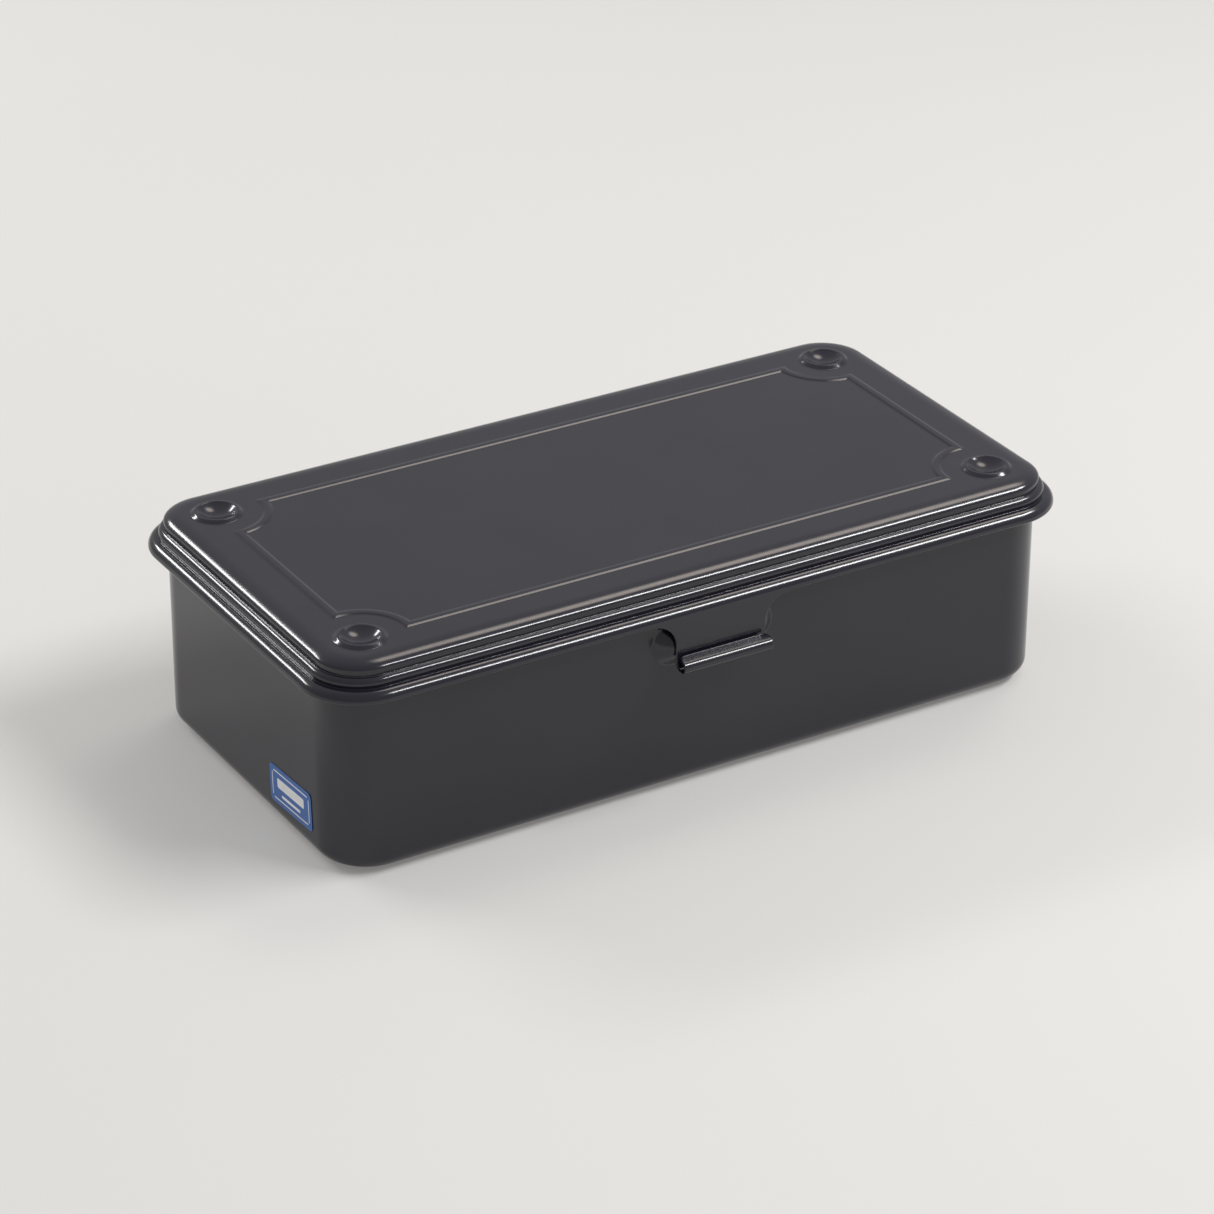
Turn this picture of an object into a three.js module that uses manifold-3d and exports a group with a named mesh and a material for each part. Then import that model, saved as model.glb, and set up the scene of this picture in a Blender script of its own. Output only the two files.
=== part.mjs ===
// Pressed-steel trunk-style box with a hinged lid, in millimetres, +Z up.
// Origin: middle of the whole depth, on the surface the box stands on. Front (latch) faces -Y.
// The pieces are drawn about the middle of the lid and shifted to that origin at the end.

import * as THREE from 'three';
import { mergeVertices } from 'three/addons/utils/BufferGeometryUtils.js';
import Module from 'manifold-3d';

const wasm = await Module();
wasm.setup();

// ---- driving dimensions -------------------------------------------------------------------

const SHEET = 0.6;                 // steel thickness of both pressings
const FIT_GAP = 0.3;               // clearance between pieces that touch
const CORNER_STEPS = 6;            // facets in each rounded corner
const ROUND_STEPS = 20;            // facets round each cup and foot
const OVERLAP = 0.5;               // how far joined or cut solids run into each other

const LID_LENGTH = 203;            // over the lid flange, along X
const LID_WIDTH = 104.3;           // over the lid flange, along Y
const LID_CORNER = 15.2;           // plan radius of the flange corner
const LID_TOP = 55.3;              // flat top panel
const SKIRT_BOTTOM = 46.4;
const SHELF_Z = 49.5;              // narrow shelf just inside the flange edge
const SKIRT_ROUND = 2.2;
const LOWER_TIER_INSET = 2.5;      // from the flange edge
const LOWER_TIER_Z = 52.0;
const LOWER_TIER_ROUND = 1.4;
const UPPER_TIER_INSET = 3.8;
const SHOULDER_RUN = 4.7;          // half-axes of the elliptic top shoulder
const SHOULDER_DROP = 1.9;
const TIER_FILLET = 0.35;          // inner fillets at the foot of each tier

const BODY_LENGTH = 194.8;
const BODY_WIDTH = 96.1;
const BODY_CORNER = 12.8;
const BASE_ROUND = 3.5;            // radius between floor and wall
const FOOT_HEIGHT = 1.0;           // stacking feet lift the floor by this much
const RIM_CURL = 0.8;              // mid-sheet radius of the rolled top edge
const RIM_TOP = 48.5;

const CUP_X = 85.4;                // stacking cups in the lid, feet under the body
const CUP_Y = 35.9;
const CUP_RIM_HEIGHT = 0.7;
const CUP_OUTER = 6.3;
const CUP_CREST = 5.5;
const CUP_EDGE_DROP = 0.1;         // from the crest of a cup to the sharp edge of its dish
const DISH_SPHERE = 6.7;           // radius of the sphere that forms the dish
const DISH_ANGLE = 42;             // slope of the dish at its rim, in degrees
const FOOT_FLAT = 2.8;
const FOOT_OUTER = 4.4;

const BEAD_X = 86.75;              // raised border bead on the lid, half-sizes of its outer edge
const BEAD_Y = 37.25;
const BEAD_WIDTH = 2.7;
const BEAD_HEIGHT = 0.2;
const BEAD_ARC = 10.75;            // radius of its concave corners round each cup
const BEAD_ARC_STEPS = 8;

const TONGUE_WIDTH = 24.4;
const TONGUE_FILLET = 6;
const ROLL_BOTTOM = 34.3;          // the tongue's end is rolled outwards for the finger
const ROLL_BACK_RADIUS = 2.2;
const ROLL_NOSE_RADIUS = 1.55;
const ROLL_NOSE_REACH = 2.3;       // middle of the nose, out from the tongue's front face
const FLAP_TILT = 62;              // the flap folds back on top, its face this far above level
const FLAP_LENGTH = 2.75;
const FLAP_CORNER = 1.6;

const BOSS_LENGTH = 31;            // embossed catch behind the tongue
const BOSS_HEIGHT = 9;
const BOSS_DEPTH = 3.2;
const BOSS_Z = 38.8;

const HINGE_X = 62;                // distance of each hinge from the middle
const HINGE_WIDTH = 20;
const KNUCKLE_MIDDLE = 8;
const HINGE_AXIS_Y = 51.6;
const HINGE_AXIS_Z = 44.5;
const HINGE_SHEET = 0.6;
const KNUCKLE_RADIUS = 1.16;       // mid-sheet radius of the rolled knuckle
const PIN_RADIUS = 0.76;
const PIN_OVERHANG = 0.3;
const PIN_CHAMFER = 0.2;
const LEAF_BEND = 0.8;             // inside radius where the body leaf turns out to the pin
const BODY_LEAF_BOTTOM = 34;
const LID_LEAF_TOP = 48.6;

const LABEL_WIDTH = 20.6;
const LABEL_HEIGHT = 9.7;
const LABEL_THICKNESS = 0.12;
const LABEL_GAP = 0.05;
const LABEL_Y = -22.7;
const LABEL_Z = 11;
const LABEL_CORNER = 1;

// ---- sections -----------------------------------------------------------------------------

const rad = THREE.MathUtils.degToRad;

// Points along an arc or a quarter of an ellipse, both ends included.
function arc(cx, cy, rx, ry, fromDeg, toDeg, steps) {
  const points = [];
  for (let i = 0; i <= steps; i++) {
    const a = rad(fromDeg + (toDeg - fromDeg) * i / steps);
    points.push(new THREE.Vector2(cx + rx * Math.cos(a), cy + ry * Math.sin(a)));
  }
  return points;
}

// The same line shifted sideways, to its left for a positive distance.
function offsetLine(points, distance) {
  const directions = points.slice(1).map((p, i) => p.clone().sub(points[i]).normalize());
  return points.map((point, i) => {
    const before = directions[Math.max(i - 1, 0)];
    const after = directions[Math.min(i, directions.length - 1)];
    const along = before.clone().add(after).normalize();
    const stretch = distance / along.dot(before);
    return new THREE.Vector2(point.x - along.y * stretch, point.y + along.x * stretch);
  });
}

// Outline of a sheet whose one face is the given line, thickened to its left.
function sheetOutline(points, thickness) {
  return [...points, ...offsetLine(points, thickness).reverse()];
}

// The same for a shallow pressing that reaches the axis: its other face is shifted up or down.
function shiftedOutline(points, rise) {
  const shifted = points.map((p) => new THREE.Vector2(p.x, p.y + rise));
  return [...points, ...shifted.reverse()];
}

function closed(section) {
  return [...section, section[0].clone()];
}

// ---- solids -------------------------------------------------------------------------------

function toSolid(geometry) {
  geometry.deleteAttribute('normal');
  geometry.deleteAttribute('uv');
  const merged = mergeVertices(geometry, 1e-4);
  const index = merged.index.array;
  const triangles = [];
  for (let i = 0; i < index.length; i += 3) {
    const [a, b, c] = index.slice(i, i + 3);
    if (a !== b && b !== c && c !== a) triangles.push(a, b, c);
  }
  return new wasm.Manifold(new wasm.Mesh({
    numProp: 3,
    vertProperties: new Float32Array(merged.attributes.position.array),
    triVerts: new Uint32Array(triangles),
  }));
}

function toGeometry(solid) {
  const { vertProperties, triVerts } = solid.getMesh();
  const geometry = new THREE.BufferGeometry();
  geometry.setAttribute('position', new THREE.BufferAttribute(new Float32Array(vertProperties), 3));
  geometry.setIndex(new THREE.BufferAttribute(new Uint32Array(triVerts), 1));
  geometry.computeVertexNormals();
  return geometry;
}

// A section turned about Z. It runs anticlockwise, and is closed or starts and ends on the axis.
function turned(section, segments, phase = 0) {
  const geometry = new THREE.LatheGeometry(section, segments, phase);
  return geometry.rotateX(Math.PI / 2);
}

// A section swept round a rounded rectangle: it is turned about Z, then its four quadrants are
// moved apart to the corner centres, which leaves straight runs between them. Corner facets
// touch the true arc at their middles, so the straight sides lie at the exact distance.
function sweptRound(section, centreX, centreY, cornerSteps = CORNER_STEPS) {
  const segments = 4 * cornerSteps;
  const halfStep = Math.PI / segments;
  const flared = section.map((p) => new THREE.Vector2(p.x / Math.cos(halfStep), p.y));
  const geometry = turned(flared, segments, halfStep);
  const position = geometry.attributes.position;
  for (let i = 0; i < position.count; i++) {
    const turn = halfStep * (1 + 2 * Math.floor(i / section.length));
    position.setX(i, position.getX(i) + centreX * Math.sign(Math.sin(turn)));
    position.setY(i, position.getY(i) - centreY * Math.sign(Math.cos(turn)));
  }
  return geometry;
}

function roundedRectangle(halfX, halfY, radius) {
  const shape = new THREE.Shape();
  shape.absarc(halfX - radius, halfY - radius, radius, 0, Math.PI / 2);
  shape.absarc(radius - halfX, halfY - radius, radius, Math.PI / 2, Math.PI);
  shape.absarc(radius - halfX, radius - halfY, radius, Math.PI, 1.5 * Math.PI);
  shape.absarc(halfX - radius, radius - halfY, radius, 1.5 * Math.PI, 2 * Math.PI);
  return shape;
}

function extruded(shape, depth, curveSegments = CORNER_STEPS) {
  return new THREE.ExtrudeGeometry(shape, { depth, bevelEnabled: false, curveSegments });
}

// A section drawn in the Y-Z plane, run along X from -length/2 to length/2.
function runAlongX(outline, length) {
  const geometry = extruded(new THREE.Shape(outline), length);
  geometry.rotateY(Math.PI / 2);
  geometry.rotateX(Math.PI / 2);
  return geometry.translate(-length / 2, 0, 0);
}

function box(fromX, toX, fromY, toY, fromZ, toZ) {
  const geometry = new THREE.BoxGeometry(toX - fromX, toY - fromY, toZ - fromZ);
  return geometry.translate((fromX + toX) / 2, (fromY + toY) / 2, (fromZ + toZ) / 2);
}

const CUP_PLACES = [[-1, -1], [1, -1], [1, 1], [-1, 1]].map(([x, y]) => [x * CUP_X, y * CUP_Y]);

// Each corner cup or foot replaces a round patch of the flat sheet around it.
function withPressings(solid, section, patchRadius, patchZ) {
  let result = solid;
  for (const [x, y] of CUP_PLACES) {
    const patch = new THREE.CylinderGeometry(patchRadius, patchRadius, 3 * SHEET, ROUND_STEPS);
    patch.rotateX(Math.PI / 2).translate(x, y, patchZ);
    const pressing = turned(section, ROUND_STEPS).translate(x, y, 0);
    result = result.subtract(toSolid(patch)).add(toSolid(pressing));
  }
  return result;
}

// ---- lid ----------------------------------------------------------------------------------

function lidSection() {
  const lower = LID_CORNER - LOWER_TIER_INSET;
  const upper = LID_CORNER - UPPER_TIER_INSET;
  const shelfCurve = arc(LID_CORNER - SKIRT_ROUND, SHELF_Z - SKIRT_ROUND,
    SKIRT_ROUND, SKIRT_ROUND, 0, 90, 5);
  const lowerFoot = arc(lower + TIER_FILLET, SHELF_Z + TIER_FILLET,
    TIER_FILLET, TIER_FILLET, 270, 180, 2);
  const lowerEdge = arc(lower - LOWER_TIER_ROUND, LOWER_TIER_Z - LOWER_TIER_ROUND,
    LOWER_TIER_ROUND, LOWER_TIER_ROUND, 0, 90, 3);
  const shoulder = arc(upper - SHOULDER_RUN, LID_TOP - SHOULDER_DROP,
    SHOULDER_RUN, SHOULDER_DROP, 0, 90, 6);
  const outer = [
    new THREE.Vector2(LID_CORNER, SKIRT_BOTTOM),
    ...shelfCurve,
    ...lowerFoot,
    ...lowerEdge.slice(0, -1),
    new THREE.Vector2(upper, LOWER_TIER_Z),
    ...shoulder,
    new THREE.Vector2(upper - SHOULDER_RUN - OVERLAP, LID_TOP),
  ];
  return closed(sheetOutline(outer, SHEET));
}

function cupSection() {
  const rimTop = LID_TOP + CUP_RIM_HEIGHT;
  const dishRim = DISH_SPHERE * Math.sin(rad(DISH_ANGLE));
  const dishCentreZ = rimTop - CUP_EDGE_DROP + DISH_SPHERE * Math.cos(rad(DISH_ANGLE));
  const flank = [];
  for (let i = 0; i <= 3; i++) {
    const rise = CUP_RIM_HEIGHT * (1 - Math.cos(Math.PI * i / 3)) / 2;
    flank.push(new THREE.Vector2(CUP_OUTER + (CUP_CREST - CUP_OUTER) * i / 3, LID_TOP + rise));
  }
  const dish = arc(0, dishCentreZ, DISH_SPHERE, DISH_SPHERE, DISH_ANGLE - 90, -90, 5);
  const top = [
    new THREE.Vector2(CUP_OUTER + 2 * OVERLAP, LID_TOP),
    ...flank,
    new THREE.Vector2((dishRim + CUP_CREST) / 2, rimTop),
    ...dish,
  ];
  return closed(shiftedOutline(top, -SHEET));
}

// Rectangle whose corners are cut by arcs centred on the cups.
function beadOutline(halfX, halfY, arcRadius) {
  const shape = new THREE.Shape();
  const start = Math.PI - Math.asin((halfY - CUP_Y) / arcRadius);
  const end = 1.5 * Math.PI + Math.asin((halfX - CUP_X) / arcRadius);
  const corners = [[1, 1], [-1, 1], [-1, -1], [1, -1]];
  const points = [];
  for (const [sx, sy] of corners) {
    const corner = [];
    for (let i = 0; i <= BEAD_ARC_STEPS; i++) {
      const a = start + (end - start) * i / BEAD_ARC_STEPS;
      const x = CUP_X + arcRadius * Math.cos(a);
      const y = CUP_Y + arcRadius * Math.sin(a);
      corner.push(new THREE.Vector2(sx * x, sy * y));
    }
    points.push(...(sx * sy > 0 ? corner.reverse() : corner));
  }
  shape.setFromPoints(points);
  return shape;
}

function lidBead() {
  const shape = beadOutline(BEAD_X, BEAD_Y, BEAD_ARC);
  shape.holes.push(beadOutline(BEAD_X - BEAD_WIDTH, BEAD_Y - BEAD_WIDTH, BEAD_ARC + BEAD_WIDTH));
  return extruded(shape, BEAD_HEIGHT + SHEET / 2).translate(0, 0, LID_TOP - SHEET / 2);
}

function makeLidShell() {
  const centreX = LID_LENGTH / 2 - LID_CORNER;
  const centreY = LID_WIDTH / 2 - LID_CORNER;
  const rim = LID_CORNER - UPPER_TIER_INSET - SHOULDER_RUN;
  const panel = extruded(roundedRectangle(centreX + rim, centreY + rim, rim), SHEET);
  const sheet = toSolid(sweptRound(lidSection(), centreX, centreY))
    .add(toSolid(panel.translate(0, 0, LID_TOP - SHEET)));
  const pressed = withPressings(sheet, cupSection(), CUP_OUTER + OVERLAP, LID_TOP);
  return toGeometry(pressed.add(toSolid(lidBead())));
}

// ---- latch tongue -------------------------------------------------------------------------

const ROLL_NOSE_Y = -LID_WIDTH / 2 - ROLL_NOSE_REACH;
const ROLL_NOSE_Z = ROLL_BOTTOM + ROLL_NOSE_RADIUS;

// The tongue hangs from the front skirt, rolls outwards and folds back on itself as a flap.
function tongueSection() {
  const innerFaceY = SHEET - LID_WIDTH / 2;
  const back = ROLL_BACK_RADIUS;
  const nose = ROLL_NOSE_RADIUS;
  const innerFace = [
    new THREE.Vector2(innerFaceY, SKIRT_BOTTOM - FIT_GAP),
    ...arc(innerFaceY - back, ROLL_BOTTOM + back, back, back, 0, -90, 6),
    ...arc(ROLL_NOSE_Y, ROLL_NOSE_Z, nose, nose, 270, 180 - FLAP_TILT, 8),
  ];
  const flapStart = innerFace[innerFace.length - 1];
  const along = new THREE.Vector2(Math.sin(rad(FLAP_TILT)), Math.cos(rad(FLAP_TILT)));
  innerFace.push(flapStart.clone().addScaledVector(along, FLAP_LENGTH));
  return sheetOutline(innerFace, -SHEET);
}

// Front view of the tongue: concave fillets at the root, straight sides.
function tongueFront() {
  const half = TONGUE_WIDTH / 2;
  const root = SKIRT_BOTTOM - FIT_GAP;
  const right = arc(half + TONGUE_FILLET, root - TONGUE_FILLET,
    TONGUE_FILLET, TONGUE_FILLET, 90, 180, 6);
  const left = right.map((p) => new THREE.Vector2(-p.x, p.y));
  const low = ROLL_BOTTOM - OVERLAP;
  return [...left, new THREE.Vector2(-half, low), new THREE.Vector2(half, low), ...right.reverse()];
}

// What a rounded outer corner of the flap leaves out of a square one, seen from above.
function flapCornerCutter(side) {
  const section = tongueSection();
  const edgeY = section[section.length / 2 - 1].x;
  const half = TONGUE_WIDTH / 2;
  const outline = [
    ...arc(half - FLAP_CORNER, edgeY - FLAP_CORNER, FLAP_CORNER, FLAP_CORNER, 0, 90, 5),
    new THREE.Vector2(half - FLAP_CORNER, edgeY + FIT_GAP),
    new THREE.Vector2(half + OVERLAP, edgeY + FIT_GAP),
    new THREE.Vector2(half + OVERLAP, edgeY - FLAP_CORNER),
  ];
  const shape = new THREE.Shape(outline.map((p) => new THREE.Vector2(side * p.x, p.y)));
  return toSolid(extruded(shape, FLAP_LENGTH + SHEET).translate(0, 0, ROLL_NOSE_Z + SHEET));
}

function makeLatchTongue() {
  const length = TONGUE_WIDTH + 2 * TONGUE_FILLET;
  const strip = toSolid(runAlongX(tongueSection(), length));
  const depth = 2 * (ROLL_NOSE_REACH + ROLL_NOSE_RADIUS) + SHEET;
  const front = extruded(new THREE.Shape(tongueFront()), 2 * depth).rotateX(Math.PI / 2);
  const blank = strip.intersect(toSolid(front.translate(0, depth - LID_WIDTH / 2, 0)));
  return toGeometry([-1, 1].reduce((solid, side) => solid.subtract(flapCornerCutter(side)), blank));
}

// ---- body ---------------------------------------------------------------------------------

function bodySection() {
  const wall = BODY_CORNER;
  const curlR = wall - SHEET / 2 + RIM_CURL;
  const curlZ = RIM_TOP - RIM_CURL - SHEET / 2;
  const curlOnOuterFace = RIM_CURL - SHEET / 2;
  const outer = [
    new THREE.Vector2(wall - BASE_ROUND - OVERLAP, FOOT_HEIGHT),
    ...arc(wall - BASE_ROUND, FOOT_HEIGHT + BASE_ROUND, BASE_ROUND, BASE_ROUND, 270, 360, 6),
    ...arc(curlR, curlZ, curlOnOuterFace, curlOnOuterFace, 180, -30, 8),
  ];
  return closed(sheetOutline(outer, SHEET));
}

function footSection() {
  const underside = [
    new THREE.Vector2(0, 0),
    new THREE.Vector2(FOOT_FLAT, 0),
    new THREE.Vector2(FOOT_OUTER, FOOT_HEIGHT),
    new THREE.Vector2(FOOT_OUTER + 2 * OVERLAP, FOOT_HEIGHT),
  ];
  return closed(shiftedOutline(underside, SHEET));
}

// Long rounded dome standing out along -Y from the given plane, as a closed solid.
function bossSolid(baseY, radius, depth) {
  const profile = [new THREE.Vector2(0, 0), ...arc(0, 0, radius, depth, 0, 90, 6)];
  profile[profile.length - 1].x = 0;
  const dome = sweptRound(profile, BOSS_LENGTH / 2 - BOSS_HEIGHT / 2, 0, 5);
  return toSolid(dome.rotateX(Math.PI / 2).translate(0, baseY, BOSS_Z));
}

function makeBodyShell() {
  const centreX = BODY_LENGTH / 2 - BODY_CORNER;
  const centreY = BODY_WIDTH / 2 - BODY_CORNER;
  const rim = BODY_CORNER - BASE_ROUND;
  const floor = extruded(roundedRectangle(centreX + rim, centreY + rim, rim), SHEET);
  const pan = toSolid(sweptRound(bodySection(), centreX, centreY))
    .add(toSolid(floor.translate(0, 0, FOOT_HEIGHT)));
  const embossed = pan
    .add(bossSolid(SHEET / 2 - BODY_WIDTH / 2, BOSS_HEIGHT / 2, BOSS_DEPTH + SHEET / 2))
    .subtract(bossSolid(2 * SHEET - BODY_WIDTH / 2, BOSS_HEIGHT / 2 - SHEET, BOSS_DEPTH + SHEET));
  const patchZ = FOOT_HEIGHT + SHEET / 2;
  return toGeometry(withPressings(embossed, footSection(), FOOT_OUTER + OVERLAP, patchZ));
}

// ---- hinges -------------------------------------------------------------------------------

// Leaf welded to the back wall: up the wall, out to the pin and round it.
function bodyLeafSection() {
  const plateFace = BODY_WIDTH / 2 + FIT_GAP + HINGE_SHEET;
  const outerRadius = KNUCKLE_RADIUS + HINGE_SHEET / 2;
  const webZ = HINGE_AXIS_Z - outerRadius;
  const outerSide = [
    new THREE.Vector2(plateFace, BODY_LEAF_BOTTOM),
    ...arc(plateFace + LEAF_BEND, webZ - LEAF_BEND, LEAF_BEND, LEAF_BEND, 180, 90, 3),
    ...arc(HINGE_AXIS_Y, HINGE_AXIS_Z, outerRadius, outerRadius, -90, 190, 14),
  ];
  return sheetOutline(outerSide, HINGE_SHEET);
}

// Leaf welded to the back of the lid skirt: down past the skirt and round the pin.
function lidLeafSection() {
  const innerRadius = KNUCKLE_RADIUS - HINGE_SHEET / 2;
  const innerSide = [
    new THREE.Vector2(HINGE_AXIS_Y + innerRadius, LID_LEAF_TOP),
    ...arc(HINGE_AXIS_Y, HINGE_AXIS_Z, innerRadius, innerRadius, 0, -280, 14),
  ];
  return sheetOutline(innerSide, HINGE_SHEET);
}

// A block that cuts across a leaf between two places along X and two heights.
function leafNotch(fromX, toX, fromZ, toZ) {
  const behind = HINGE_AXIS_Y + KNUCKLE_RADIUS + HINGE_SHEET;
  return toSolid(box(fromX, toX, BODY_WIDTH / 2, behind, fromZ, toZ));
}

function makeBodyLeaf() {
  const notchBottom = HINGE_AXIS_Z - KNUCKLE_RADIUS - HINGE_SHEET / 2 - LEAF_BEND;
  const notchHalf = KNUCKLE_MIDDLE / 2 + FIT_GAP;
  const leaf = toSolid(runAlongX(bodyLeafSection(), HINGE_WIDTH));
  return toGeometry(leaf.subtract(leafNotch(-notchHalf, notchHalf, notchBottom, LID_TOP)));
}

function makeLidLeaf() {
  const notchTop = HINGE_AXIS_Z + KNUCKLE_RADIUS + HINGE_SHEET / 2 + FIT_GAP;
  const inner = KNUCKLE_MIDDLE / 2;
  const outer = HINGE_WIDTH / 2 + OVERLAP;
  return toGeometry(toSolid(runAlongX(lidLeafSection(), HINGE_WIDTH))
    .subtract(leafNotch(-outer, -inner, BODY_LEAF_BOTTOM, notchTop))
    .subtract(leafNotch(inner, outer, BODY_LEAF_BOTTOM, notchTop)));
}

// Plain pin with slightly chamfered ends, lying along X.
function makeHingePin() {
  const half = HINGE_WIDTH / 2 + PIN_OVERHANG;
  const profile = [
    new THREE.Vector2(0, -half),
    new THREE.Vector2(PIN_RADIUS - PIN_CHAMFER, -half),
    new THREE.Vector2(PIN_RADIUS, PIN_CHAMFER - half),
    new THREE.Vector2(PIN_RADIUS, half - PIN_CHAMFER),
    new THREE.Vector2(PIN_RADIUS - PIN_CHAMFER, half),
    new THREE.Vector2(0, half),
  ];
  return toGeometry(toSolid(new THREE.LatheGeometry(profile, 16).rotateZ(Math.PI / 2)));
}

// ---- label --------------------------------------------------------------------------------

function makeLabel() {
  const outline = roundedRectangle(LABEL_WIDTH / 2, LABEL_HEIGHT / 2, LABEL_CORNER);
  const sticker = extruded(outline, LABEL_THICKNESS, 3);
  return toGeometry(toSolid(sticker.rotateY(-Math.PI / 2).rotateX(Math.PI / 2)));
}

// ---- assembly -----------------------------------------------------------------------------

const paint = () => new THREE.MeshStandardMaterial({ color: 0x1d1d1f, roughness: 0.38, metalness: 0.1 });
const steel = () => new THREE.MeshStandardMaterial({ color: 0xa9abad, roughness: 0.35, metalness: 0.9 });
const vinyl = () => new THREE.MeshStandardMaterial({ color: 0x2f62a8, roughness: 0.4, metalness: 0 });

// The latch stands out further in front than the hinges do behind.
const FRONT_REACH = ROLL_NOSE_RADIUS - ROLL_NOSE_Y;
const BACK_REACH = HINGE_AXIS_Y + KNUCKLE_RADIUS + HINGE_SHEET / 2;
const SHIFT_Y = (FRONT_REACH - BACK_REACH) / 2;

const part = new THREE.Group();

function place(name, geometry, material, x = 0, y = 0, z = 0) {
  const mesh = new THREE.Mesh(geometry, material);
  mesh.name = name;
  mesh.position.set(x, y + SHIFT_Y, z);
  part.add(mesh);
}

place('body_shell', makeBodyShell(), paint());
place('lid_shell', makeLidShell(), paint());
place('latch_tongue', makeLatchTongue(), paint());
for (const [side, x] of [['left', -HINGE_X], ['right', HINGE_X]]) {
  place(`hinge_body_leaf_${side}`, makeBodyLeaf(), paint(), x);
  place(`hinge_lid_leaf_${side}`, makeLidLeaf(), paint(), x);
  place(`hinge_pin_${side}`, makeHingePin(), steel(), x, HINGE_AXIS_Y, HINGE_AXIS_Z);
}
place('side_label', makeLabel(), vinyl(), -BODY_LENGTH / 2 - LABEL_GAP, LABEL_Y, LABEL_Z);

export default part;
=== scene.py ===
"""Looks of a black pressed-steel lunch box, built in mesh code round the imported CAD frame."""

import math

import bmesh
import bpy
from mathutils import Matrix, Vector


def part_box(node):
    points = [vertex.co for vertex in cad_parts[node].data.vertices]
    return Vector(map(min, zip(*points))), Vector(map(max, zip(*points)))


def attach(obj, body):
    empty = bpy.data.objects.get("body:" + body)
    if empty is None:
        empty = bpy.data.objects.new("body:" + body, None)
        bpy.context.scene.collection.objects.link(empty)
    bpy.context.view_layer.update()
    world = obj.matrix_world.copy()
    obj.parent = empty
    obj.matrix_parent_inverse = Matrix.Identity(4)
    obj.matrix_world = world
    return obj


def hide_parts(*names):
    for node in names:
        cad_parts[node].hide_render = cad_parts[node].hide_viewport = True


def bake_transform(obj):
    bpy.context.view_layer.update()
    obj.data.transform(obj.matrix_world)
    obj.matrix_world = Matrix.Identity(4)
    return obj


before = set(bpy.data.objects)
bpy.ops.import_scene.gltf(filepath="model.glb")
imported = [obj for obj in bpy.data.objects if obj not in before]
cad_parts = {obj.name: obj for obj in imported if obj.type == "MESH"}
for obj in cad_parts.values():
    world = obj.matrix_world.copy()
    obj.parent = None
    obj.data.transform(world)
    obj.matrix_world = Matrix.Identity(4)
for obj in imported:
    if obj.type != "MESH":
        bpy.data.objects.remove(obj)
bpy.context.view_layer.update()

MM = 0.001

# ---- driving dimensions, in millimetres -------------------------------------------------------

SHEET = 0.6
EDGE = SHEET / 2               # half-round free edges stand this far past the face's own outline
CORNER_STEPS = 20
ROUND_STEPS = 72
GUARD = 0.5                    # flat margin kept beside each curve, so flat faces shade flat
TIER_GUARD = 0.25              # the same beside the tighter curves of the lid's tiers
SAME = 1e-6                    # numbers closer than this count as equal

LID_TOP = 55.3
SKIRT_BOTTOM = 46.4
SHELF_Z = 49.5
LID_CORNER = 15.2
SKIRT_ROUND = 2.2
LOWER_TIER_INSET = 2.5
LOWER_TIER_Z = 52.0
LOWER_TIER_ROUND = 1.4
UPPER_TIER_INSET = 3.8
SHOULDER_RUN = 4.7
SHOULDER_DROP = 1.9
TIER_FILLET = 0.1
TIER_UNDERCUT = 0.13           # each tier's wall leans in a little towards its foot
SKIRT_CURL = 0.68              # the skirt's lower edge turns slightly inwards
CURL_ANGLE = math.radians(60)
CURL_FADE = 6.0                # length over which the curl dies out beside the tongue

BODY_LENGTH = 194.8
BODY_WIDTH = 96.1
BODY_CORNER = 12.8
BASE_ROUND = 3.5
FLOOR_Z = 1.0
RIM_TOP = 48.5
RIM_CURL = 0.8

CUP_X, CUP_Y = 85.4, 35.9
CUP_OUTER = 6.4
CUP_MARGIN = 0.3               # flat ring kept round each cup
CUP_CREST = 5.2
CUP_RIM_HEIGHT = 0.7
CUP_EDGE = 4.85
CUP_EDGE_ROUND = 0.45
DISH_SLOPE = 37.0
FOOT_OUTER = 4.4
FOOT_FLAT = 2.8
FOOT_MARGIN = 0.4              # flat ring kept round each foot
FOOT_MIDDLE = 1.0              # innermost ring of points under each foot

BEAD_X, BEAD_Y = 85.4, 35.9    # middle line of the raised border bead
BEAD_ARC = 12.1
BEAD_HALF = 1.35
BEAD_FLANK = 0.8               # each side of the bead rises to its flat top over this width
BEAD_HEIGHT = 0.24

TONGUE_HALF = 12.2
TONGUE_FILLET = 6.0
ROLL_BOTTOM = 34.3             # the tongue's end rolls outwards and its flap folds back on top
ROLL_BACK_RADIUS = 2.2
ROLL_NOSE_RADIUS = 1.55
ROLL_NOSE_REACH = 2.3          # nose middle, out from the tongue's front face
FLAP_TILT = 70.0
FLAP_LENGTH = 2.25
FLAP_CORNER = 1.6
STRAIGHT_STOPS = (0.3, 0.7, 0.95)              # rows down the tongue's straight part
FLAP_STOPS = (0.1, 0.3, 0.6, 0.85, 1.0)        # rows across the flap, from fold to edge

BOSS_HALF = 15.5
BOSS_RADIUS = 4.5
BOSS_DEPTH = 3.2
BOSS_FOOT = 0.9                # its flank eases into the wall over this much more
BOSS_FULLNESS = 1.3
BOSS_Z = 38.8
BOSS_MARGIN = 0.3              # flat strip kept round the catch
BOSS_WINDOW = 1.5              # the wall is left open this far past the catch, then filled

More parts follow.
